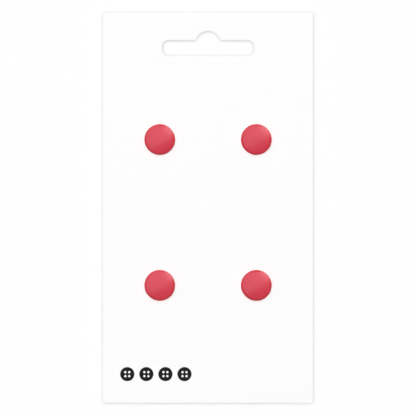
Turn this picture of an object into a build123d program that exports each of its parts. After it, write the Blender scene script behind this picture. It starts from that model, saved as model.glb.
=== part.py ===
"""A hanging card of shank buttons.

A die-cut white card lies on its back. Moulded buttons sit on its face, each with its shank through a punched
hole. Behind the card, a split pin of bent strip through each shank's eye keeps the button from being pulled out.

Frame: +X runs to the right across the card, +Y towards the hanging slot, +Z up out of the printed face.
The origin is under the middle of the card, on the surface that the four shanks stand on.
All sizes are millimetres.
"""

import os
from math import acos, degrees, hypot, sqrt

from build123d import *

# Card: 2 11/16 by 5 inches of white board
card_width = 68.3
card_height = 127.0
card_thickness = 0.6
card_corner_radius = 0.5

# Hanging slot: a flat slot with a round crown over its middle
slot_width = 30.0
slot_height = 5.2
slot_end_flat = 0.9
slot_crown_width = 8.0
slot_crown_rise = 3.0
slot_crown_fillet = 0.5
slot_top_margin = 5.95

# Where the buttons are on the card
button_pitch_x = 31.4
button_pitch_y = 47.4
button_rows_below_middle = 1.5

# Button head: a shallow crown with a bevelled rim and a skirt drawn in towards the back
button_diameter = 10.0
crown_rise = 1.1
rim_width = 0.65
rim_drop = 0.25
side_height = 0.5
skirt_height = 0.6
skirt_inset = 0.75

# Button shank: a round neck that fills the card's hole, then a flat-sided post with an eye through it
neck_diameter = 4.4
neck_hole_clearance = 0.05
neck_past_card = 0.3
post_thickness = 2.4
post_tip_bevel = 0.5
eye_below_neck = 0.2
eye_above_tip = 0.8
eye_mouth_bevel = 0.12

# Split pin: a flat strip bent back on itself, with a round head and two splayed legs
strip_thickness = 0.35
strip_width = 1.0
strip_eye_clearance = 0.03
eye_slack = 0.25
leg_gap = 0.05
leg_past_post = 0.25
pin_head_radius = 1.1
pin_shoulder_radius = 0.5
leg_splay_radius = 1.5
leg_splay_angle = 22
leg_tip_length = 1.8

# Levels and places that follow from those sizes
leg_pair_width = 2 * strip_thickness + leg_gap
eye_diameter = hypot(leg_pair_width, strip_width) + eye_slack
eye_level = eye_above_tip + eye_diameter / 2
neck_back = eye_above_tip + eye_diameter + eye_below_neck
card_back = neck_back + neck_past_card
card_front = card_back + card_thickness
slot_y = card_height / 2 - slot_top_margin - slot_crown_rise - slot_height / 2
slot_end_radius = (slot_height - slot_end_flat) / 2
hole_diameter = neck_diameter + 2 * neck_hole_clearance
strip_below_eye_axis = sqrt(eye_diameter**2 - leg_pair_width**2) / 2 - strip_eye_clearance
row_y = {
    "upper": button_pitch_y / 2 - button_rows_below_middle,
    "lower": -button_pitch_y / 2 - button_rows_below_middle,
}
column_x = {"left": -button_pitch_x / 2, "right": button_pitch_x / 2}
places = {f"{row}_{column}": (x, y) for row, y in row_y.items() for column, x in column_x.items()}


def write(part, name):
    """Labels a finished piece and writes its own file."""
    part.label = name
    export_step(part, f"parts/{name}.step")


def write_at_places(part, name):
    """Writes one copy of a piece for each place where a button sits."""
    for place, (x, y) in places.items():
        write(part.moved(Location((x, y, 0))), f"{name}_{place}")


os.makedirs("parts", exist_ok=True)

# The hanging slot's outline, about the middle of its flat part
slot_top = slot_height / 2
crown_half = slot_crown_width / 2
with BuildSketch() as slot:
    RectangleRounded(slot_width, slot_height, slot_end_radius)
    with BuildLine():
        ThreePointArc((-crown_half, slot_top), (0, slot_top + slot_crown_rise), (crown_half, slot_top))
        Polyline((crown_half, slot_top), (crown_half, 0), (-crown_half, 0), (-crown_half, slot_top))
    make_face()
    for side in (-1, 1):
        crown_foot = slot.vertices().sort_by_distance((side * crown_half, slot_top, 0))[0]
        fillet(crown_foot, slot_crown_fillet)

# The card, one sheet with the slot and four shank holes punched out
with BuildPart() as card:
    with BuildSketch(Plane.XY.offset(card_back)):
        RectangleRounded(card_width, card_height, card_corner_radius)
        with Locations((0, slot_y)):
            add(slot.sketch, mode=Mode.SUBTRACT)
        with Locations(*places.values()):
            Circle(hole_diameter / 2, mode=Mode.SUBTRACT)
    extrude(amount=card_thickness)
write(card.part, "card")

# One button, standing on its shank at the origin
button_radius = button_diameter / 2
skirt_level = card_front + skirt_height
rim_level = skirt_level + side_height
head_top = rim_level + crown_rise
with BuildPart() as button:
    # Head, turned about its middle
    with BuildSketch(Plane.XZ) as head:
        with BuildLine():
            TangentArc((0, head_top), (button_radius, rim_level), tangent=(1, 0))
            Polyline(
                (button_radius, rim_level),
                (button_radius, skirt_level),
                (button_radius - skirt_inset, card_front),
                (0, card_front),
                (0, head_top),
            )
        make_face()
        crown = head.edges().filter_by(GeomType.CIRCLE)[0]
        rim_corner = head.vertices().sort_by_distance((button_radius, rim_level, 0))[0]
        chamfer(rim_corner, rim_width, rim_drop, reference=crown)
    revolve(axis=Axis.Z)

    # Neck, from just behind the card up to the back of the head
    with BuildSketch(Plane.XY.offset(neck_back)):
        Circle(neck_diameter / 2)
    extrude(amount=card_front - neck_back)

    # Post with two flat sides, from the tip up into the neck
    with BuildSketch():
        Circle(neck_diameter / 2)
        Rectangle(post_thickness, neck_diameter, mode=Mode.INTERSECT)
    extrude(amount=card_back)
    chamfer(button.edges().group_by(Axis.Z)[0], post_tip_bevel)

    # Eye through the flat sides, with bevelled mouths
    with BuildSketch(Plane.YZ):
        with Locations((0, eye_level)):
            Circle(eye_diameter / 2)
    extrude(amount=post_thickness, both=True, mode=Mode.SUBTRACT)
    eye_mouths = [mouth for side in button.faces().filter_by(Axis.X) for mouth in side.inner_wires()]
    chamfer(ShapeList(eye_mouths).edges(), eye_mouth_bevel)
write_at_places(button.part, "button")

# One split pin, through the eye of a button at the origin
leg_half = post_thickness / 2 + leg_past_post
leg_offset = (strip_thickness + leg_gap) / 2
head_flare = degrees(acos((leg_offset + pin_shoulder_radius) / (pin_head_radius + pin_shoulder_radius)))
with BuildPart() as pin:
    with BuildSketch(Plane.XY.offset(eye_level - strip_below_eye_axis)):
        # Half of the strip's line, from the head to a leg's tip, and its mirror image
        with BuildLine():
            leg = Line((leg_half, leg_offset), (-leg_half, leg_offset))
            shoulder = JernArc(leg @ 1, leg % 1, pin_shoulder_radius, -head_flare)
            JernArc(shoulder @ 1, shoulder % 1, pin_head_radius, 90 + head_flare)
            splay = JernArc(leg @ 0, -(leg % 0), leg_splay_radius, leg_splay_angle)
            Line(splay @ 1, splay @ 1 + splay % 1 * leg_tip_length)
            mirror(about=Plane.XZ)
        trace(line_width=strip_thickness)
    extrude(amount=strip_width)
write_at_places(pin.part, "pin")
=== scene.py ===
"""Dresses a hanging card of shank buttons and sets it under plain studio light.

The card lies on its back. Four moulded buttons sit on its face with their shanks through punched holes, a
split pin holds each from behind, and a small printed mark fills the lower left corner. Sizes are metres.
"""

import logging
import math
from dataclasses import dataclass, field
from enum import Enum
from typing import Any, Iterable, Optional, Union

import bmesh
import bpy
from bpy.types import Curve, Material, Mesh, Node, NodeSocket, NodeTree, Object
from mathutils import Matrix, Vector

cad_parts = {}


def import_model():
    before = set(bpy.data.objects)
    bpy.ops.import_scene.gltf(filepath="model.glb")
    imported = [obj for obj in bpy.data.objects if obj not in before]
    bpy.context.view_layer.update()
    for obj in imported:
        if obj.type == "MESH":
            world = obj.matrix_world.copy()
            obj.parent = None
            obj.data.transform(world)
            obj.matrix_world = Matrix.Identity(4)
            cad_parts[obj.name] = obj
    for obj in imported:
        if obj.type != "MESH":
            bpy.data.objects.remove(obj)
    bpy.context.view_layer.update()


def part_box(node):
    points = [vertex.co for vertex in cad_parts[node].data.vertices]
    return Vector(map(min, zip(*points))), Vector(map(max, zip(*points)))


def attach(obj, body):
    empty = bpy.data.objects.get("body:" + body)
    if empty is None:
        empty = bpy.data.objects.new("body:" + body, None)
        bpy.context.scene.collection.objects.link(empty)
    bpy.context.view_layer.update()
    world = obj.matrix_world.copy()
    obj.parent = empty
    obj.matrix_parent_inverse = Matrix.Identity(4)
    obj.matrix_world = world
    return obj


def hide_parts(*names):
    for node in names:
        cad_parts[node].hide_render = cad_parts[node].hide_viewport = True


LOG = logging.getLogger("card_of_buttons")
MM = 0.001
QUARTER = math.pi / 2
# Mesh attribute that marks where the painted shade lies on each button's rim.
BODY = "root"
RIM_SHADE = "rim"

Rgb = tuple[float, float, float]
Point = tuple[float, float]
Number = Union["Field", float]


class Place(Enum):
    """Where a button sits on the card."""

    UPPER_LEFT = "upper_left"
    UPPER_RIGHT = "upper_right"
    LOWER_LEFT = "lower_left"
    LOWER_RIGHT = "lower_right"


class BoardSide(Enum):
    """The card's surfaces, by material index."""

    FACE = 0
    BACK = 1
    EDGE = 2


class Lights(Enum):
    """What a lamp shows in: shading and gloss, or one of them alone."""

    ALL = "all"
    SHADING = "shading"
    GLOSS = "gloss"


class Graph:
    """A node tree under construction, for shaders and for geometry alike."""

    def __init__(self, tree: NodeTree) -> None:
        """Keeps the tree and empties it."""
        self.tree = tree
        tree.nodes.clear()

    def node(
        self,
        kind: str,
        settings: Optional[dict[str, Any]] = None,
        sockets: Optional[dict[Any, Any]] = None,
    ) -> Node:
        """Adds a node.

        Args:
            kind: Blender's type name of the node.
            settings: Properties of the node, which are set before its sockets.
            sockets: Values or links by the socket's name or number; a list feeds a socket with many links.

        Returns:
            The new node.
        """
        made = self.tree.nodes.new(kind)
        for name, value in (settings or {}).items():
            setattr(made, name, value)
        for name, value in (sockets or {}).items():
            for one in value if isinstance(value, list) else [value]:
                self.feed(made.inputs[name], one)
        return made

    def feed(self, socket: NodeSocket, value: Any) -> None:
        """Links something to a socket, or sets the socket's own value.

        Args:
            socket: The input socket.
            value: A field, a node (for its first output) or an output socket to link, or else a plain value.
        """
        if isinstance(value, Field):
            value = value.socket
        if isinstance(value, Node):
            value = value.outputs[0]
        if isinstance(value, NodeSocket):
            self.tree.links.new(value, socket)
        else:
            socket.default_value = value


class Field:
    """A value that changes over a surface; sums and products of fields add Math nodes to their graph."""

    def __init__(self, graph: Graph, socket: NodeSocket) -> None:
        """Wraps one output socket of a graph."""
        self.graph = graph
        self.socket = socket

    def math(self, operation: str, *values: Number) -> "Field":
        """Adds one Math node.

        Args:
            operation: The node's operation.
            values: Its inputs, in order.

        Returns:
            The node's output.
        """
        made = self.graph.node("ShaderNodeMath", {"operation": operation}, dict(enumerate(values)))
        return Field(self.graph, made.outputs[0])

    def __add__(self, other: Number) -> "Field":
        """self + other."""
        return self.math("ADD", self, other)

    def __sub__(self, other: Number) -> "Field":
        """self - other."""
        return self.math("SUBTRACT", self, other)

    def __rsub__(self, other: float) -> "Field":
        """other - self."""
        return self.math("SUBTRACT", other, self)

    def __mul__(self, other: Number) -> "Field":
        """self * other."""
        return self.math("MULTIPLY", self, other)

    def __truediv__(self, other: Number) -> "Field":
        """self / other."""
        return self.math("DIVIDE", self, other)

    def __or__(self, other: Number) -> "Field":
        """The larger of self and other."""
        return self.math("MAXIMUM", self, other)

    __radd__ = __add__
    __rmul__ = __mul__


Colour = Union[Rgb, Field]


class Finish(Graph):
    """A material under construction, with its patterns laid out in Object coordinates."""

    # The Mix node's sockets when it mixes colours.
    MIX_SHARE, MIX_LOW, MIX_HIGH, MIX_RESULT = 0, 6, 7, 2

    def __init__(self, name: str) -> None:
        """Starts an empty material.

        Args:
            name: The material's name.
        """
        self.material = bpy.data.materials.new(name)
        self.material.use_nodes = True
        super().__init__(self.material.node_tree)
        self.place = self.node("ShaderNodeTexCoord").outputs["Object"]

    def noise(self, grain: float, layers: float = 2.0, stretch: Rgb = (1.0, 1.0, 1.0)) -> Field:
        """Cloudy noise around a half.

        Args:
            grain: Size of one cloud in metres.
            layers: Number of finer layers.
            stretch: How much longer the clouds are along each axis.

        Returns:
            The noise, from 0 to 1.
        """
        scale = tuple(1 / (grain * along) for along in stretch)
        mapped = self.node("ShaderNodeMapping", sockets={"Vector": self.place, "Scale": scale})
        made = self.node("ShaderNodeTexNoise", sockets={"Vector": mapped, "Scale": 1.0, "Detail": layers})
        return Field(self, made.outputs[0])

    def attribute(self, name: str) -> Field:
        """A value that the mesh itself carries."""
        return Field(self, self.node("ShaderNodeAttribute", {"attribute_name": name}).outputs["Fac"])

    def blend(self, share: Field, low: Colour, high: Colour) -> Field:
        """Mixes two colours.

        Args:
            share: The second colour's share, from 0 to 1.
            low: The first colour.
            high: The second colour.

        Returns:
            The mixed colour.
        """
        ends = [(*colour, 1.0) if isinstance(colour, tuple) else colour for colour in (low, high)]
        made = self.node(
            "ShaderNodeMix",
            {"data_type": "RGBA", "clamp_factor": True},
            {self.MIX_SHARE: share, self.MIX_LOW: ends[0], self.MIX_HIGH: ends[1]},
        )
        return Field(self, made.outputs[self.MIX_RESULT])

    def relief(self, height: Field, depth: float) -> Field:
        """A normal bent by a height from 0 to 1 that stands for a depth in metres."""
        made = self.node("ShaderNodeBump", sockets={"Height": height, "Distance": depth})
        return Field(self, made.outputs[0])

    def principled(self, **sockets: Any) -> Material:
        """Ends the material in one Principled shader.

        Args:
            sockets: Its sockets' values or links, with underscores for the spaces in their names.

        Returns:
            The finished material.
        """
        named = {name.replace("_", " "): value for name, value in sockets.items()}
        shader = self.node("ShaderNodeBsdfPrincipled", sockets=named)
        self.node("ShaderNodeOutputMaterial", sockets={"Surface": shader})
        return self.material


@dataclass(frozen=True)
class CoatedFace:
    """The card's smooth white front, with the faint unevenness of a clay coating."""

    white: Rgb = (0.965, 0.965, 0.965)
    thin: Rgb = (0.955, 0.955, 0.953)
    cloud: float = 4.0 * MM
    fibre: float = 0.25 * MM
    fibre_layers: float = 3.0
    depth: float = 0.003 * MM
    roughness: float = 0.48
    roughness_spread: float = 0.14
    specular: float = 0.3

    def material(self) -> Material:
        """Mixes the finish.

        Returns:
            The finished material.
        """
        finish = Finish("coated_face")
        cloud = finish.noise(self.cloud)
        fibre = finish.noise(self.fibre, self.fibre_layers)
        return finish.principled(
            Base_Color=finish.blend(cloud, self.thin, self.white),
            Roughness=self.roughness + self.roughness_spread * fibre,
            Specular_IOR_Level=self.specular,
            Normal=finish.relief(fibre, self.depth),
        )


@dataclass(frozen=True)
class UncoatedBack:
    """The card's duller back, where the board's fibres show."""

    pale: Rgb = (0.86, 0.85, 0.82)
    dull: Rgb = (0.78, 0.765, 0.73)
    fibre: float = 0.35 * MM
    fibre_layers: float = 4.0
    fibre_stretch: Rgb = (1.0, 2.5, 1.0)
    depth: float = 0.012 * MM
    roughness: float = 0.8
    roughness_spread: float = 0.15
    specular: float = 0.2

    def material(self) -> Material:
        """Mixes the finish.

        Returns:
            The finished material.
        """
        finish = Finish("uncoated_back")
        fibre = finish.noise(self.fibre, self.fibre_layers, self.fibre_stretch)
        return finish.principled(
            Base_Color=finish.blend(fibre, self.dull, self.pale),
            Roughness=self.roughness + self.roughness_spread * fibre,
            Specular_IOR_Level=self.specular,
            Normal=finish.relief(fibre, self.depth),
        )


@dataclass(frozen=True)
class CutEdge:
    """The die-cut edge, where the board's plies show as fine layers."""

    pale: Rgb = (0.88, 0.87, 0.84)
    dark: Rgb = (0.74, 0.72, 0.68)
    ply: float = 0.07 * MM
    ply_stretch: Rgb = (20.0, 20.0, 1.0)
    depth: float = 0.02 * MM
    roughness: float = 0.85
    roughness_spread: float = 0.1
    specular: float = 0.15

    def material(self) -> Material:
        """Mixes the finish.

        Returns:
            The finished material.
        """
        finish = Finish("cut_edge")
        plies = finish.noise(self.ply, stretch=self.ply_stretch)
        return finish.principled(
            Base_Color=finish.blend(plies, self.dark, self.pale),
            Roughness=self.roughness + self.roughness_spread * plies,
            Specular_IOR_Level=self.specular,
            Normal=finish.relief(plies, self.depth),
        )


@dataclass(frozen=True)
class MouldedNylon:
    """Satin coral-red nylon with faint flow clouds and a fine skin; a darker red along the thin rim is
    painted shade.
    """

    coral: Rgb = (0.709, 0.054, 0.088)
    deep: Rgb = (0.658, 0.0465, 0.074)
    # Painted shade: the darker, deeper red laid on the rim stands for the shade along the bevelled edge.
    rim: Rgb = (0.640, 0.022, 0.037)
    flow: float = 5.0 * MM
    flow_layers: float = 1.0
    skin: float = 0.22 * MM
    depth: float = 0.0012 * MM
    roughness: float = 0.25
    roughness_spread: float = 0.08
    specular: float = 0.75

    def material(self) -> Material:
        """Mixes the finish.

        Returns:
            The finished material.
        """
        finish = Finish("moulded_nylon")
        flow = finish.noise(self.flow, self.flow_layers)
        skin = finish.noise(self.skin)
        body = finish.blend(flow, self.deep, self.coral)
        return finish.principled(
            # The rim's darker red is painted shade, laid on where each button's mesh marks its rim.
            Base_Color=finish.blend(finish.attribute(RIM_SHADE), body, self.rim),
            Roughness=self.roughness + self.roughness_spread * skin,
            Specular_IOR_Level=self.specular,
            Normal=finish.relief(skin, self.depth),
        )


@dataclass(frozen=True)
class BrassStrip:
    """Rolled brass strip, drawn out along its length and a little tarnished."""

    bright: Rgb = (0.78, 0.57, 0.25)
    tarnish: Rgb = (0.52, 0.35, 0.13)
    drawn: float = 0.12 * MM
    drawn_stretch: Rgb = (8.0, 8.0, 1.0)
    patch: float = 1.6 * MM
    patch_layers: float = 3.0
    depth: float = 0.002 * MM
    roughness: float = 0.22
    roughness_spread: float = 0.2

    def material(self) -> Material:
        """Mixes the finish.

        Returns:
            The finished material.
        """
        finish = Finish("brass_strip")
        drawn = finish.noise(self.drawn, stretch=self.drawn_stretch)
        patch = finish.noise(self.patch, self.patch_layers)
        return finish.principled(
            Base_Color=finish.blend(patch, self.tarnish, self.bright),
            Metallic=1.0,
            Roughness=self.roughness + self.roughness_spread * drawn,
            Normal=finish.relief(drawn, self.depth),
        )


@dataclass(frozen=True)
class BlackInk:
    """Printed black ink, slightly uneven where the board took less of it."""

    black: Rgb = (0.006, 0.006, 0.007)
    thin: Rgb = (0.02, 0.02, 0.021)
    speckle: float = 0.12 * MM
    roughness: float = 0.65
    roughness_spread: float = 0.15
    specular: float = 0.1

    def material(self) -> Material:
        """Mixes the finish.

        Returns:
            The finished material.
        """
        finish = Finish("black_ink")
        speckle = finish.noise(self.speckle)
        return finish.principled(
            Base_Color=finish.blend(speckle, self.black, self.thin),
            Roughness=self.roughness + self.roughness_spread * speckle,
            Specular_IOR_Level=self.specular,
        )


@dataclass(frozen=True)
class StudioPaper:
    """White paper under and around the object: white to the camera, but for the shadows that it keeps."""

    white: Rgb = (0.94, 0.94, 0.94)
    shading_share: float = 0.12
    edge_reach: float = 2.98 * MM
    edge_samples: int = 32
    edge_depth: float = 5.6
    lean_to_light: Rgb = (-0.47, 0.54, 0.70)
    cover_reach: float = 14.0 * MM
    cover_samples: int = 16
    cover_start: float = 0.8
    cover_full: float = 0.96
    upright: Rgb = (0.0, 0.0, 1.0)

    def floor(self) -> Material:
        """Mixes the paper under the object, with a fine shadow along its edges and a deep one under it.

        Returns:
            The finished material.
        """
        finish = Finish("studio_floor")
        edge = self.covered(finish, self.edge_reach, self.edge_samples, self.lean_to_light)
        cover = self.covered(finish, self.cover_reach, self.cover_samples, self.upright)
        hidden = (cover - self.cover_start) / (self.cover_full - self.cover_start) | 0.0
        light = (1 - self.edge_depth * edge | 0.0) * (1 - hidden | 0.0)
        return self.lit(finish, light, self.shading_share)

    def backdrop(self) -> Material:
        """The paper around the object, plain white to the camera."""
        return self.lit(Finish("studio_backdrop"), 1.0, 0.0)

    def covered(self, finish: Finish, reach: float, samples: int, lean: Rgb) -> Field:
        """The share of the view upwards that something nearby covers.

        Args:
            finish: The material.
            reach: How near a thing has to be, in metres.
            samples: Number of rays.
            lean: The direction that most rays take.

        Returns:
            The share, from 0 to 1.
        """
        towards = finish.node("ShaderNodeCombineXYZ", sockets=dict(zip("XYZ", lean)))
        sockets = {"Distance": reach, "Normal": towards}
        made = finish.node("ShaderNodeAmbientOcclusion", {"samples": samples}, sockets)
        return 1 - Field(finish, made.outputs["AO"])

    def lit(self, finish: Finish, light: Number, shading_share: float) -> Material:
        """Ends the material: its own light for the rays that see it, plain paper for all others.

        Args:
            finish: The material.
            light: How white the paper looks, from 0 to 1.
            shading_share: The share of the lamps' real shading in that look.

        Returns:
            The finished material.
        """
        ray = finish.node("ShaderNodeLightPath").outputs
        seen = (
            Field(finish, ray["Is Camera Ray"])
            | Field(finish, ray["Is Glossy Ray"])
            | Field(finish, ray["Is Transmission Ray"])
        )
        shaded = finish.node("ShaderNodeBsdfDiffuse", sockets={"Color": (*self.white, 1.0)})
        clear = finish.node("ShaderNodeEmission", sockets={"Strength": light})
        clear_share = seen * (1 - shading_share)
        mixed = finish.node("ShaderNodeMixShader", sockets={0: clear_share, 1: shaded, 2: clear})
        finish.node("ShaderNodeOutputMaterial", sockets={"Surface": mixed})
        return finish.material


def in_scene(made: Object) -> Object:
    """Links an object to the scene and gives it back."""
    bpy.context.scene.collection.objects.link(made)
    return made


def plain_mesh(host: Object) -> Mesh:
    """An object's evaluated geometry as a mesh of its own."""
    depsgraph = bpy.context.evaluated_depsgraph_get()
    return bpy.data.meshes.new_from_object(host.evaluated_get(depsgraph), depsgraph=depsgraph)


class ShapeTree(Graph):
    """A Geometry Nodes tree with named inputs for its sizes."""

    TYPES = {float: "NodeSocketFloat", int: "NodeSocketInt", Material: "NodeSocketMaterial"}
    SHARP_EDGE = math.radians(32)

    def __init__(self, name: str, **values: Any) -> None:
        """Starts a tree.

        Args:
            name: The tree's name.
            values: Its named inputs and the values that they get.
        """
        super().__init__(bpy.data.node_groups.new(name, "GeometryNodeTree"))
        self.values = values
        sockets = self.tree.interface
        sockets.new_socket("Geometry", in_out="INPUT", socket_type="NodeSocketGeometry")
        sockets.new_socket("Geometry", in_out="OUTPUT", socket_type="NodeSocketGeometry")
        for label, value in values.items():
            sockets.new_socket(label, in_out="INPUT", socket_type=self.TYPES[type(value)])
        self.given = self.node("NodeGroupInput").outputs

    def value(self, name: str) -> Field:
        """A named input as a field."""
        return Field(self, self.given[name])

    def vector(self, x: Any = 0.0, y: Any = 0.0, z: Any = 0.0) -> Node:
        """A vector from three values or fields."""
        return self.node("ShaderNodeCombineXYZ", sockets={"X": x, "Y": y, "Z": z})

    def finish(self, shape: Node, material: str) -> None:
        """Ends the tree: real geometry, smooth but for its sharp edges, with its material.

        Args:
            shape: The node that gives the shape.
            material: The named input that holds the material.
        """
        real = self.node("GeometryNodeRealizeInstances", sockets={"Geometry": shape})
        turn = self.node("GeometryNodeInputMeshEdgeAngle").outputs["Unsigned Angle"]
        sharp = self.node("FunctionNodeCompare", {"operation": "GREATER_THAN"}, {0: turn, 1: self.SHARP_EDGE})
        smooth = self.node(
            "GeometryNodeSetShadeSmooth",
            {"domain": "FACE"},
            {"Geometry": real, "Shade Smooth": True},
        )
        edged = self.node(
            "GeometryNodeSetShadeSmooth",
            {"domain": "EDGE"},
            {"Geometry": smooth, "Selection": sharp, "Shade Smooth": False},
        )
        sockets = {"Geometry": edged, "Material": self.given[material]}
        dressed = self.node("GeometryNodeSetMaterial", sockets=sockets)
        self.node("NodeGroupOutput", sockets={"Geometry": dressed})

    def mesh(self, host: Object) -> Mesh:
        """Runs the tree on a host object and removes the host.

        Args:
            host: The object whose geometry the tree starts from.

        Returns:
            The result as a plain mesh.
        """
        in_scene(host)
        modifier = host.modifiers.new(self.tree.name, "NODES")
        modifier.node_group = self.tree
        for item in self.tree.interface.items_tree:
            if item.in_out == "INPUT" and item.name in self.values:
                modifier[item.identifier] = self.values[item.name]
        made = plain_mesh(host)
        host.modifiers.remove(modifier)
        bpy.data.objects.remove(host)
        return made


def arc(centre: Point, radius: float, start: float, turn: float, steps: int) -> list[Point]:
    """Points along an arc.

    Args:
        centre: The arc's centre.
        radius: Its radius.
        start: The first point's direction from the centre, in radians.
        turn: The angle to the last point, counter-clockwise if positive.
        steps: Number of steps between the first point and the last.

    Returns:
        The points, both ends included.
    """
    x, y = centre
    angles = (start + turn * step / steps for step in range(steps + 1))
    return [(x + radius * math.cos(angle), y + radius * math.sin(angle)) for angle in angles]


def rounded(before: Point, corner: Point, after: Point, radius: float, steps: int) -> list[Point]:
    """Points of the arc that rounds a corner.

    Args:
        before: The point before the corner.
        corner: The corner.
        after: The point after it.
        radius: The arc's radius.
        steps: Number of steps along the arc.

    Returns:
        The arc's points, in the same order.
    """
    back = (Vector(before) - Vector(corner)).normalized()
    on = (Vector(after) - Vector(corner)).normalized()
    half = back.angle(on) / 2
    centre = Vector(corner) + (back + on).normalized() * radius / math.sin(half)
    start = Vector(corner) + back * radius / math.tan(half) - centre
    end = Vector(corner) + on * radius / math.tan(half) - centre
    return arc(tuple(centre), radius, math.atan2(start.y, start.x), -start.angle_signed(end), steps)


def outline(name: str, loops: Iterable[list[Vector]], closed: bool) -> Curve:
    """A curve of straight runs.

    Args:
        name: The curve's name.
        loops: The points of each run.
        closed: Whether each run comes back to its start and lies flat; an open run is free in space.

    Returns:
        The curve.
    """
    curve = bpy.data.curves.new(name, "CURVE")
    for points in loops:
        spline = curve.splines.new("POLY")
        spline.points.add(len(points) - 1)
        spline.points.foreach_set("co", [value for point in points for value in (*point, 1.0)])
        spline.use_cyclic_u = closed
    curve.dimensions = "2D" if closed else "3D"
    return curve


def stand_in(mesh: Mesh, name: str, slot: str, *nodes: str) -> None:
    """Shows a mesh as a piece of the object.

    Args:
        mesh: The piece's mesh, in place.
        name: The piece's name.
        slot: The material slot that its finish stands for; not used.
        nodes: The CAD nodes that it stands for.
    """
    mesh.name = name
    piece = in_scene(bpy.data.objects.new(name, mesh))
    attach(piece, BODY)
    if nodes:
        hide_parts(*nodes)
    LOG.info("%s: %d faces", name, len(mesh.polygons))


@dataclass
class HangCard:
    """The die-cut card: one sheet with a hanging slot and a punched hole under each button."""

    corner_radius: float = 0.5 * MM
    edge_round: float = 0.05 * MM
    hole_radius: float = 2.25 * MM
    slot_width: float = 30.0 * MM
    slot_height: float = 5.2 * MM
    slot_end_radius: float = 2.15 * MM
    crown_width: float = 8.0 * MM
    crown_rise: float = 3.0 * MM
    crown_fillet: float = 0.5 * MM
    slot_top_margin: float = 5.95 * MM
    weld: float = 0.0005 * MM
    edge_lean: float = 0.3
    corner_steps: int = 8
    edge_steps: int = 2
    hole_steps: int = 64
    end_steps: int = 16
    crown_steps: int = 40
    fillet_steps: int = 8
    low: Vector = field(init=False)
    high: Vector = field(init=False)

    def __post_init__(self) -> None:
        """Takes the sheet's own size from the frame."""
        self.low, self.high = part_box("card")

    def sheet_outline(self) -> list[Point]:
        """The card's outer edge, with its small round corners.

        Returns:
            The edge's points, counter-clockwise.
        """
        radius = self.corner_radius
        x, y = self.high.x - radius, self.high.y - radius
        points = []
        for turn, corner in enumerate(((x, y), (-x, y), (-x, -y), (x, -y))):
            points += arc(corner, radius, turn * QUARTER, QUARTER, self.corner_steps)
        return points

    def slot_outline(self) -> list[Point]:
        """The hanging slot's edge: a flat slot with a round crown over its middle.

        Returns:
            The edge's points, counter-clockwise from the lower right.
        """
        radius, fillet = self.slot_end_radius, self.crown_fillet
        crest = self.high.y - self.slot_top_margin
        top = crest - self.crown_rise
        bottom = top - self.slot_height
        end = self.slot_width / 2 - radius
        # The crown's arc has the given width where it meets the slot's top, and a fillet eases each meeting.
        crown = (self.crown_width**2 / 4 + self.crown_rise**2) / (2 * self.crown_rise)
        centre_y = crest - crown
        rise = top + fillet - centre_y
        foot = math.sqrt((crown + fillet) ** 2 - rise**2)
        lean = math.atan2(rise, foot)
        return [
            *arc((end, bottom + radius), radius, -QUARTER, QUARTER, self.end_steps),
            *arc((end, top - radius), radius, 0.0, QUARTER, self.end_steps),
            *arc((foot, top + fillet), fillet, -QUARTER, lean - QUARTER, self.fillet_steps),
            *arc((0.0, centre_y), crown, lean, math.pi - 2 * lean, self.crown_steps),
            *arc((-foot, top + fillet), fillet, -lean, lean - QUARTER, self.fillet_steps),
            *arc((-end, top - radius), radius, QUARTER, QUARTER, self.end_steps),
            *arc((-end, bottom + radius), radius, math.pi, QUARTER, self.end_steps),
        ]

    def build(self, holes: Iterable[Vector]) -> Mesh:
        """Cuts the sheet.

        Args:
            holes: The middle of each shank's hole.

        Returns:
            The card's mesh, in place, with its seams still open.
        """
        loops = [self.sheet_outline(), self.slot_outline()]
        for hole in holes:
            loops.append(arc((hole.x, hole.y), self.hole_radius, 0.0, 2 * math.pi, self.hole_steps)[:-1])
        curve = outline("card", [[Vector((x, y, 0.0)) for x, y in loop] for loop in loops], closed=True)
        curve.fill_mode = "BOTH"
        curve.extrude = (self.high.z - self.low.z) / 2 - self.edge_round
        curve.bevel_depth = self.edge_round
        curve.bevel_resolution = self.edge_steps
        curve.offset = -self.edge_round
        host = in_scene(bpy.data.objects.new("card_outline", curve))
        mesh = plain_mesh(host)
        bpy.data.objects.remove(host)
        mesh.transform(Matrix.Translation((0.0, 0.0, (self.low.z + self.high.z) / 2)))
        return mesh

    def side(self, normal: Vector) -> BoardSide:
        """The surface that a face belongs to, by the way it looks."""
        flat = BoardSide.FACE if normal.z > 0 else BoardSide.BACK
        return flat if abs(normal.z) > self.edge_lean else BoardSide.EDGE

    def dress(self, mesh: Mesh) -> None:
        """Closes the sheet's seams and gives its face, back and edge their finishes.

        Args:
            mesh: The card's mesh.
        """
        finishes = {BoardSide.FACE: CoatedFace(), BoardSide.BACK: UncoatedBack(), BoardSide.EDGE: CutEdge()}
        mesh.materials.clear()
        for side in BoardSide:
            mesh.materials.append(finishes[side].material())
        shape = bmesh.new()
        shape.from_mesh(mesh)
        bmesh.ops.remove_doubles(shape, verts=shape.verts, dist=self.weld)
        bmesh.ops.recalc_face_normals(shape, faces=shape.faces)
        for face in shape.faces:
            face.material_index = self.side(face.normal).value
            face.smooth = False
        shape.to_mesh(mesh)
        shape.free()
        stand_in(mesh, "die_cut_card", "board", "card")


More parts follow.
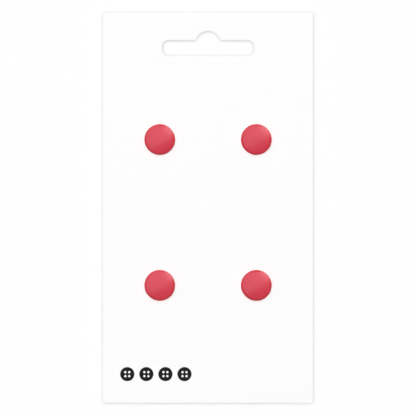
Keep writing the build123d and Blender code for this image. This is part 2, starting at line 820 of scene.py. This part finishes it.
@dataclass
class ShankButton:
    """One moulded button: a crowned head, and a round shank with two flats and an eye."""

    crown_rise: float = 1.1 * MM
    rim_width: float = 0.65 * MM
    rim_drop: float = 0.25 * MM
    rim_round: float = 0.2 * MM
    skirt_height: float = 0.6 * MM
    skirt_inset: float = 0.75 * MM
    skirt_round: float = 0.2 * MM
    foot_round: float = 0.08 * MM
    shank_radius: float = 2.2 * MM
    tip_bevel: float = 0.5 * MM
    tip_round: float = 0.1 * MM
    flats_thickness: float = 2.4 * MM
    flats_top: float = 2.5 * MM
    eye_radius: float = 0.75 * MM
    eye_level: float = 1.55 * MM
    eye_bevel: float = 0.12 * MM
    mouth_below_share: float = 1.5
    mouth_above_share: float = 1.0
    cutter_reach: float = 4.4 * MM
    # Where the painted rim shade begins and where it is full, out from the button's axis.
    rim_shade_start: float = 4.3 * MM
    rim_shade_end: float = 4.5 * MM
    weld: float = 0.001 * MM
    dome_steps: int = 28
    rim_steps: int = 6
    tip_steps: int = 4
    segments: int = 128
    eye_segments: int = 64

    def profile(self) -> list[Vector]:
        """Half of the button's turned section.

        Returns:
            The section's points, from the crown's middle to the shank's tip.
        """
        low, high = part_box("button_" + Place.UPPER_LEFT.value)
        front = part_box("card")[1].z
        radius = (high.x - low.x) / 2
        crown = (radius**2 + self.crown_rise**2) / (2 * self.crown_rise)
        lean = math.asin(radius / crown) - self.rim_width / crown
        dome = arc((0.0, high.z - crown), crown, QUARTER, -lean, self.dome_steps)
        rim_foot = (radius, high.z - self.crown_rise - self.rim_drop)
        skirt_top = (radius, front + self.skirt_height)
        skirt_foot = (radius - self.skirt_inset, front)
        root = (self.shank_radius, front)
        tip_shoulder = (self.shank_radius, self.tip_bevel)
        tip_edge = (self.shank_radius - self.tip_bevel, 0.0)
        middle = (0.0, 0.0)
        points = [
            *dome[:-1],
            *rounded(dome[-2], dome[-1], rim_foot, self.rim_round, self.rim_steps),
            *rounded(dome[-1], rim_foot, skirt_top, self.rim_round, self.rim_steps),
            *rounded(rim_foot, skirt_top, skirt_foot, self.skirt_round, self.rim_steps),
            *rounded(skirt_top, skirt_foot, root, self.foot_round, self.rim_steps),
            root,
            *rounded(root, tip_shoulder, tip_edge, self.tip_round, self.tip_steps),
            *rounded(tip_shoulder, tip_edge, middle, self.tip_round, self.tip_steps),
            middle,
        ]
        return [Vector((x, 0.0, z)) for x, z in points]

    def build(self) -> Mesh:
        """Turns the section, cuts the shank's flats and drills its eye.

        Returns:
            A button that stands at the origin.
        """
        tree = ShapeTree(
            "turned_button",
            segments=self.segments,
            cutter_reach=self.cutter_reach,
            flats_thickness=self.flats_thickness,
            flats_top=self.flats_top,
            tip_bevel=self.tip_bevel,
            eye_radius=self.eye_radius,
            eye_level=self.eye_level,
            eye_bevel=self.eye_bevel,
            rim_shade_start=self.rim_shade_start,
            rim_shade_end=self.rim_shade_end,
            weld=self.weld,
            nylon=MouldedNylon().material(),
        )
        cut = tree.node(
            "GeometryNodeMeshBoolean",
            {"operation": "DIFFERENCE", "solver": "EXACT"},
            {"Mesh 1": self.turn(tree), "Mesh 2": [*self.flats(tree), *self.eye(tree)]},
        )
        tree.finish(self.rim_shaded(tree, cut), "nylon")
        section = outline("button_section", [self.profile()], closed=False)
        return tree.mesh(bpy.data.objects.new("button_section", section))

    def turn(self, tree: ShapeTree) -> Node:
        """Adds the nodes that turn the given section about the Z axis.

        Args:
            tree: The tree, whose geometry is the section's curve.

        Returns:
            The node that gives the turned solid.
        """
        section = tree.given["Geometry"]
        count = tree.node("GeometryNodeAttributeDomainSize", {"component": "CURVE"}, {"Geometry": section})
        rows = tree.value("segments") + 1
        grid = tree.node("GeometryNodeMeshGrid", sockets={"Vertices X": count, "Vertices Y": rows})
        # A grid's points are numbered column by column. Half a step keeps the division off whole numbers.
        index = Field(tree, tree.node("GeometryNodeInputIndex").outputs[0])
        column = index.math("FLOOR", (index + 0.5) / rows)
        row = index - column * rows
        spot = tree.node(
            "GeometryNodeSampleIndex",
            {"data_type": "FLOAT_VECTOR", "domain": "POINT"},
            {"Geometry": section, "Value": tree.node("GeometryNodeInputPosition"), "Index": column},
        )
        spun = tree.node(
            "ShaderNodeVectorRotate",
            {"rotation_type": "Z_AXIS"},
            {"Vector": spot, "Angle": row * (2 * math.pi) / tree.value("segments")},
        )
        placed = tree.node("GeometryNodeSetPosition", sockets={"Geometry": grid, "Position": spun})
        sockets = {"Geometry": placed, "Distance": tree.value("weld")}
        return tree.node("GeometryNodeMergeByDistance", sockets=sockets)

    def flats(self, tree: ShapeTree) -> list[Node]:
        """Adds the blocks that cut the shank's two flats and bevel their tips.

        Args:
            tree: The button's tree.

        Returns:
            The nodes that give the blocks.
        """
        reach = tree.value("cutter_reach")
        thickness, bevel = tree.value("flats_thickness"), tree.value("tip_bevel")
        block = tree.node("GeometryNodeMeshCube", sockets={"Size": tree.vector(reach, reach * 2, reach * 2)})
        # The second cut leans by half a quarter turn and takes one bevel off each flat's tip.
        slant = reach / math.sqrt(2)
        cuts = (
            ((thickness + reach) / 2, tree.value("flats_top") - reach, 0.0),
            ((thickness - bevel + slant) / 2, (bevel - slant) / 2, QUARTER / 2),
        )
        return [
            self.placed(tree, block, tree.vector(across * side, 0.0, level), lean * side)
            for side in (-1.0, 1.0)
            for across, level, lean in cuts
        ]

    def eye(self, tree: ShapeTree) -> list[Node]:
        """Adds the drill for the eye and the cones that bevel its two mouths.

        Args:
            tree: The button's tree.

        Returns:
            The nodes that give the drill and the cones.
        """
        radius, level, bevel = (tree.value("eye_" + size) for size in ("radius", "level", "bevel"))
        around = {"Vertices": self.eye_segments}
        depth = tree.value("cutter_reach") * 2
        drill = tree.node("GeometryNodeMeshCylinder", sockets={**around, "Radius": radius, "Depth": depth})
        # A cone opens by as much as it is deep, and is one bevel wider than the eye where it meets the flat.
        below, above = bevel * self.mouth_below_share, bevel * self.mouth_above_share
        cone = tree.node(
            "GeometryNodeMeshCone",
            sockets={
                **around,
                "Radius Bottom": radius + bevel - below,
                "Radius Top": radius + bevel + above,
                "Depth": below + above,
            },
        )
        mouth = tree.value("flats_thickness") / 2 - below
        return [
            self.placed(tree, drill, tree.vector(z=level), QUARTER),
            self.placed(tree, cone, tree.vector(mouth, 0.0, level), QUARTER),
            self.placed(tree, cone, tree.vector(mouth * -1.0, 0.0, level), -QUARTER),
        ]

    def rim_shaded(self, tree: ShapeTree, shape: Node) -> Node:
        """Adds the nodes that mark how far out towards the rim each point lies, for the painted rim shade.

        Args:
            tree: The button's tree.
            shape: The node that gives the button.

        Returns:
            The node that gives the button with its painted rim shade marked from 0 to 1.
        """
        position = tree.node("GeometryNodeInputPosition")
        flat = tree.node("ShaderNodeVectorMath", {"operation": "MULTIPLY"}, {0: position, 1: (1.0, 1.0, 0.0)})
        out = tree.node("ShaderNodeVectorMath", {"operation": "LENGTH"}, {0: flat}).outputs["Value"]
        start, end = tree.value("rim_shade_start"), tree.value("rim_shade_end")
        rim_shade = tree.node("ShaderNodeMapRange", sockets={"Value": out, "From Min": start, "From Max": end})
        return tree.node(
            "GeometryNodeStoreNamedAttribute",
            {"data_type": "FLOAT", "domain": "POINT"},
            {"Geometry": shape, "Name": RIM_SHADE, "Value": rim_shade},
        )

    def placed(self, tree: ShapeTree, shape: Node, at: Node, lean: float) -> Node:
        """Adds a Transform node that leans a shape about the Y axis and moves it."""
        sockets = {"Geometry": shape, "Translation": at, "Rotation": (0.0, lean, 0.0)}
        return tree.node("GeometryNodeTransform", sockets=sockets)

    def dress(self, mesh: Mesh) -> None:
        """Puts a copy of the button at each place.

        Args:
            mesh: A button that stands at the origin.
        """
        for place in Place:
            low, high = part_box(f"button_{place.value}")
            copy = mesh.copy()
            copy.transform(Matrix.Translation(((low.x + high.x) / 2, (low.y + high.y) / 2, 0.0)))
            stand_in(copy, f"moulded_button_{place.value}", "button", f"button_{place.value}")


@dataclass
class SplitPin:
    """A flat brass strip bent back on itself, with a round head and two splayed legs."""

    thickness: float = 0.35 * MM
    edge_round: float = 0.08 * MM
    leg_gap: float = 0.05 * MM
    leg_half: float = 1.45 * MM
    head_radius: float = 1.1 * MM
    shoulder_radius: float = 0.5 * MM
    splay_radius: float = 1.5 * MM
    splay: float = math.radians(22)
    tip_length: float = 1.8 * MM
    splay_steps: int = 8
    shoulder_steps: int = 10
    head_steps: int = 24
    edge_steps: int = 3

    def path(self) -> list[Vector]:
        """The strip's line about the shank's middle.

        Returns:
            The line's points, from one leg's tip round the head to the other's.
        """
        offset = (self.thickness + self.leg_gap) / 2
        shoulder, head = self.shoulder_radius, self.head_radius
        flare = math.acos((offset + shoulder) / (head + shoulder))
        bend_centre = (self.leg_half, offset + self.splay_radius)
        bent = arc(bend_centre, self.splay_radius, -QUARTER, self.splay, self.splay_steps)
        tip_x = bent[-1][0] + self.tip_length * math.cos(self.splay)
        tip_y = bent[-1][1] + self.tip_length * math.sin(self.splay)
        head_x = -self.leg_half - (head + shoulder) * math.sin(flare)
        half = [
            (tip_x, tip_y),
            *reversed(bent),
            *arc((-self.leg_half, offset + shoulder), shoulder, -QUARTER, -flare, self.shoulder_steps),
            *arc((head_x, 0.0), head, QUARTER - flare, QUARTER + flare, self.head_steps)[1:],
        ]
        line = half + [(x, -y) for x, y in reversed(half[:-1])]
        return [Vector((x, y, 0.0)) for x, y in line]

    def build(self) -> Mesh:
        """Draws the strip along its line.

        Returns:
            A pin that lies about the origin.
        """
        low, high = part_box("pin_" + Place.UPPER_LEFT.value)
        tree = ShapeTree(
            "bent_strip",
            thickness=self.thickness,
            width=high.z - low.z,
            edge_round=self.edge_round,
            edge_steps=self.edge_steps,
            brass=BrassStrip().material(),
        )
        upright = tree.node("GeometryNodeSetCurveNormal", {"mode": "Z_UP"}, {"Curve": tree.given["Geometry"]})
        section = tree.node(
            "GeometryNodeCurvePrimitiveQuadrilateral",
            {"mode": "RECTANGLE"},
            {"Width": tree.value("thickness"), "Height": tree.value("width")},
        )
        softened = tree.node(
            "GeometryNodeFilletCurve",
            {"mode": "POLY"},
            {"Curve": section, "Count": tree.value("edge_steps"), "Radius": tree.value("edge_round")},
        )
        drawn = tree.node(
            "GeometryNodeCurveToMesh",
            sockets={"Curve": upright, "Profile Curve": softened, "Fill Caps": True},
        )
        tree.finish(drawn, "brass")
        line = outline("strip_line", [self.path()], closed=False)
        return tree.mesh(bpy.data.objects.new("strip_line", line))

    def dress(self, mesh: Mesh) -> None:
        """Puts a copy of the pin through each shank's eye.

        Args:
            mesh: A pin that lies about the origin.
        """
        for place in Place:
            low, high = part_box(f"pin_{place.value}")
            button_low, button_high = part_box(f"button_{place.value}")
            copy = mesh.copy()
            middle = Vector(((button_low.x + button_high.x) / 2, (low.y + high.y) / 2, (low.z + high.z) / 2))
            copy.transform(Matrix.Translation(middle))
            stand_in(copy, f"bent_pin_{place.value}", "pin", f"pin_{place.value}")


@dataclass
class PrintedMark:
    """A row of plain button signs, printed in black on the card's lower left corner."""

    count: int = 4
    pitch: float = 6.2 * MM
    sign_radius: float = 2.3 * MM
    hole_radius: float = 0.37 * MM
    hole_pitch: float = 1.3 * MM
    holes_across: int = 2
    ink_thickness: float = 0.012 * MM
    left_margin: float = 7.9 * MM
    bottom_margin: float = 9.4 * MM
    weld: float = 0.0001 * MM
    sign_segments: int = 72

    def build(self) -> Mesh:
        """Prints the signs.

        Returns:
            The row of signs, in place on the card's face.
        """
        card_low, card_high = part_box("card")
        tree = ShapeTree(
            "printed_signs",
            count=self.count,
            pitch=self.pitch,
            sign_radius=self.sign_radius,
            hole_radius=self.hole_radius,
            hole_pitch=self.hole_pitch,
            holes_across=self.holes_across,
            ink_thickness=self.ink_thickness,
            weld=self.weld,
            ink=BlackInk().material(),
        )
        row = tree.node(
            "GeometryNodeMeshLine",
            {"mode": "OFFSET"},
            {"Count": tree.value("count"), "Offset": tree.vector(tree.value("pitch"))},
        )
        sign = self.sign(tree)
        signs = tree.node("GeometryNodeInstanceOnPoints", sockets={"Points": row, "Instance": sign})
        tree.finish(signs, "ink")
        mesh = tree.mesh(bpy.data.objects.new("sign_host", bpy.data.meshes.new("sign_host")))
        first = Vector((card_low.x + self.left_margin, card_low.y + self.bottom_margin, card_high.z))
        mesh.transform(Matrix.Translation(first))
        return mesh

    def sign(self, tree: ShapeTree) -> Node:
        """Adds the nodes of one sign: a thin disc of ink with four round holes.

        Args:
            tree: The mark's tree.

        Returns:
            The node that gives the sign.
        """
        disc, hole = (
            tree.node(
                "GeometryNodeCurvePrimitiveCircle",
                {"mode": "RADIUS"},
                {"Resolution": self.sign_segments, "Radius": tree.value(radius)},
            )
            for radius in ("sign_radius", "hole_radius")
        )
        pitch, across = tree.value("hole_pitch"), tree.value("holes_across")
        square = tree.node(
            "GeometryNodeMeshGrid",
            sockets={"Size X": pitch, "Size Y": pitch, "Vertices X": across, "Vertices Y": across},
        )
        holes = tree.node("GeometryNodeInstanceOnPoints", sockets={"Points": square, "Instance": hole})
        punched = tree.node("GeometryNodeRealizeInstances", sockets={"Geometry": holes})
        joined = tree.node("GeometryNodeJoinGeometry", sockets={"Geometry": [disc, punched]})
        filled = tree.node("GeometryNodeFillCurve", {"mode": "TRIANGLES"}, {"Curve": joined})
        raised = tree.node(
            "GeometryNodeExtrudeMesh",
            {"mode": "FACES"},
            {"Mesh": filled, "Offset Scale": tree.value("ink_thickness"), "Individual": False},
        )
        under = tree.node("GeometryNodeFlipFaces", sockets={"Mesh": filled})
        closed = tree.node("GeometryNodeJoinGeometry", sockets={"Geometry": [raised.outputs["Mesh"], under]})
        sockets = {"Geometry": closed, "Distance": tree.value("weld")}
        return tree.node("GeometryNodeMergeByDistance", sockets=sockets)

    def dress(self, mesh: Mesh) -> None:
        """Shows the row of signs as one printed piece."""
        stand_in(mesh, "printed_mark", "board")


@dataclass(frozen=True)
class Softbox:
    """A rectangular lamp that points at the card's middle, with angles in degrees and power in watts."""

    name: str
    tilt: float
    towards: float
    width: float
    height: float
    power: float
    lights: Lights = Lights.ALL
    shadow: bool = True
    distance: float = 4.0

    def place(self) -> None:
        """Hangs the lamp, tilted from overhead, towards an angle from the card's top edge to its left."""
        lamp = bpy.data.lights.new(self.name, "AREA")
        lamp.shape = "RECTANGLE"
        lamp.size = self.width
        lamp.size_y = self.height
        lamp.energy = self.power
        lamp.use_shadow = self.shadow
        # Rays that meet a lamp by chance can be blocked, so a lamp without shadow is not sampled that way.
        lamp.cycles.use_multiple_importance_sampling = self.shadow
        made = in_scene(bpy.data.objects.new(self.name, lamp))
        across, up = math.sin(math.radians(self.tilt)), math.cos(math.radians(self.tilt))
        turn = math.radians(self.towards)
        out = Vector((-math.sin(turn) * across, math.cos(turn) * across, up))
        made.visible_glossy = self.lights is not Lights.SHADING
        made.visible_diffuse = self.lights is not Lights.GLOSS
        made.visible_camera = False
        made.location = out * self.distance
        made.rotation_euler = out.to_track_quat("Z", "Y").to_euler()


@dataclass
class Studio:
    """Camera, lamps, sky and floor."""

    lens: float = 500.0
    sensor: float = 36.0
    field_width: float = 135.3 * MM
    aim_below_middle: float = 0.065 * MM
    sky: float = 0.07
    paper_radius: float = 5.0
    paper_rise: float = 0.4
    paper_segments: int = 96
    wall_lean: float = 0.5
    lamps: tuple[Softbox, ...] = (
        Softbox("left_softbox", tilt=17.4, towards=27.4, width=9.0, height=4.65, power=100.3),
        Softbox(
            "right_softbox", tilt=55.0, towards=-41, width=2.64, height=2.64, power=43.0, lights=Lights.GLOSS
        ),
        Softbox(
            "right_fill", tilt=52.3, towards=-41, width=2.64, height=2.64, power=32.5, lights=Lights.SHADING,
            shadow=False,
        ),
        Softbox(
            "overhead_fill", tilt=8, towards=34, width=0.5, height=0.5, power=86.3, lights=Lights.SHADING
        ),
        Softbox("rim_strip", tilt=74, towards=-46, width=3.4, height=2.0, power=50.0, lights=Lights.GLOSS),
        Softbox("left_strip", tilt=72, towards=42, width=6.5, height=1.6, power=36.0, lights=Lights.GLOSS),
    )

    def build(self) -> None:
        """Sets up the whole studio."""
        bpy.context.scene.view_settings.view_transform = "Standard"
        self.camera()
        self.sky_light()
        self.floor()
        for lamp in self.lamps:
            lamp.place()

    def camera(self) -> None:
        """Looks straight down on the card's face, with the card's top edge upwards."""
        data = bpy.data.cameras.new("camera")
        data.lens = self.lens
        data.sensor_width = self.sensor
        made = in_scene(bpy.data.objects.new("camera", data))
        height = self.field_width * self.lens / self.sensor
        made.location = (0.0, -self.aim_below_middle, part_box("card")[1].z + height)
        bpy.context.scene.camera = made

    def sky_light(self) -> None:
        """An even white sky at a plain level."""
        world = bpy.data.worlds.new("studio_sky")
        world.use_nodes = True
        bpy.context.scene.world = world
        graph = Graph(world.node_tree)
        white = (1.0, 1.0, 1.0, 1.0)
        light = graph.node("ShaderNodeBackground", sockets={"Color": white, "Strength": self.sky})
        graph.node("ShaderNodeOutputWorld", sockets={"Surface": light})

    def floor(self) -> None:
        """A round sheet of studio paper under the shanks, turned up all round as a backdrop."""
        shape = bmesh.new()
        bmesh.ops.create_circle(shape, cap_ends=True, radius=self.paper_radius, segments=self.paper_segments)
        edges = [edge for edge in shape.edges if edge.is_boundary]
        raised = bmesh.ops.extrude_edge_only(shape, edges=edges)["geom"]
        wall = [part for part in raised if isinstance(part, bmesh.types.BMVert)]
        bmesh.ops.translate(shape, verts=wall, vec=(0.0, 0.0, self.paper_rise))
        shape.normal_update()
        for face in shape.faces:
            face.material_index = int(abs(face.normal.z) < self.wall_lean)
        mesh = bpy.data.meshes.new("studio_paper")
        shape.to_mesh(mesh)
        shape.free()
        mesh.materials.append(StudioPaper().floor())
        mesh.materials.append(StudioPaper().backdrop())
        made = in_scene(bpy.data.objects.new("studio_paper", mesh))


def main() -> None:
    """Builds the card, its buttons, pins and print, and the studio around them."""
    logging.basicConfig(level=logging.INFO, format="%(name)s: %(message)s")
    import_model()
    button_boxes = [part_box(f"button_{place.value}") for place in Place]
    card = HangCard()
    card.dress(card.build((low + high) / 2 for low, high in button_boxes))
    button = ShankButton()
    button.dress(button.build())
    pin = SplitPin()
    pin.dress(pin.build())
    mark = PrintedMark()
    mark.dress(mark.build())
    Studio().build()


if __name__ == "__main__":
    main()
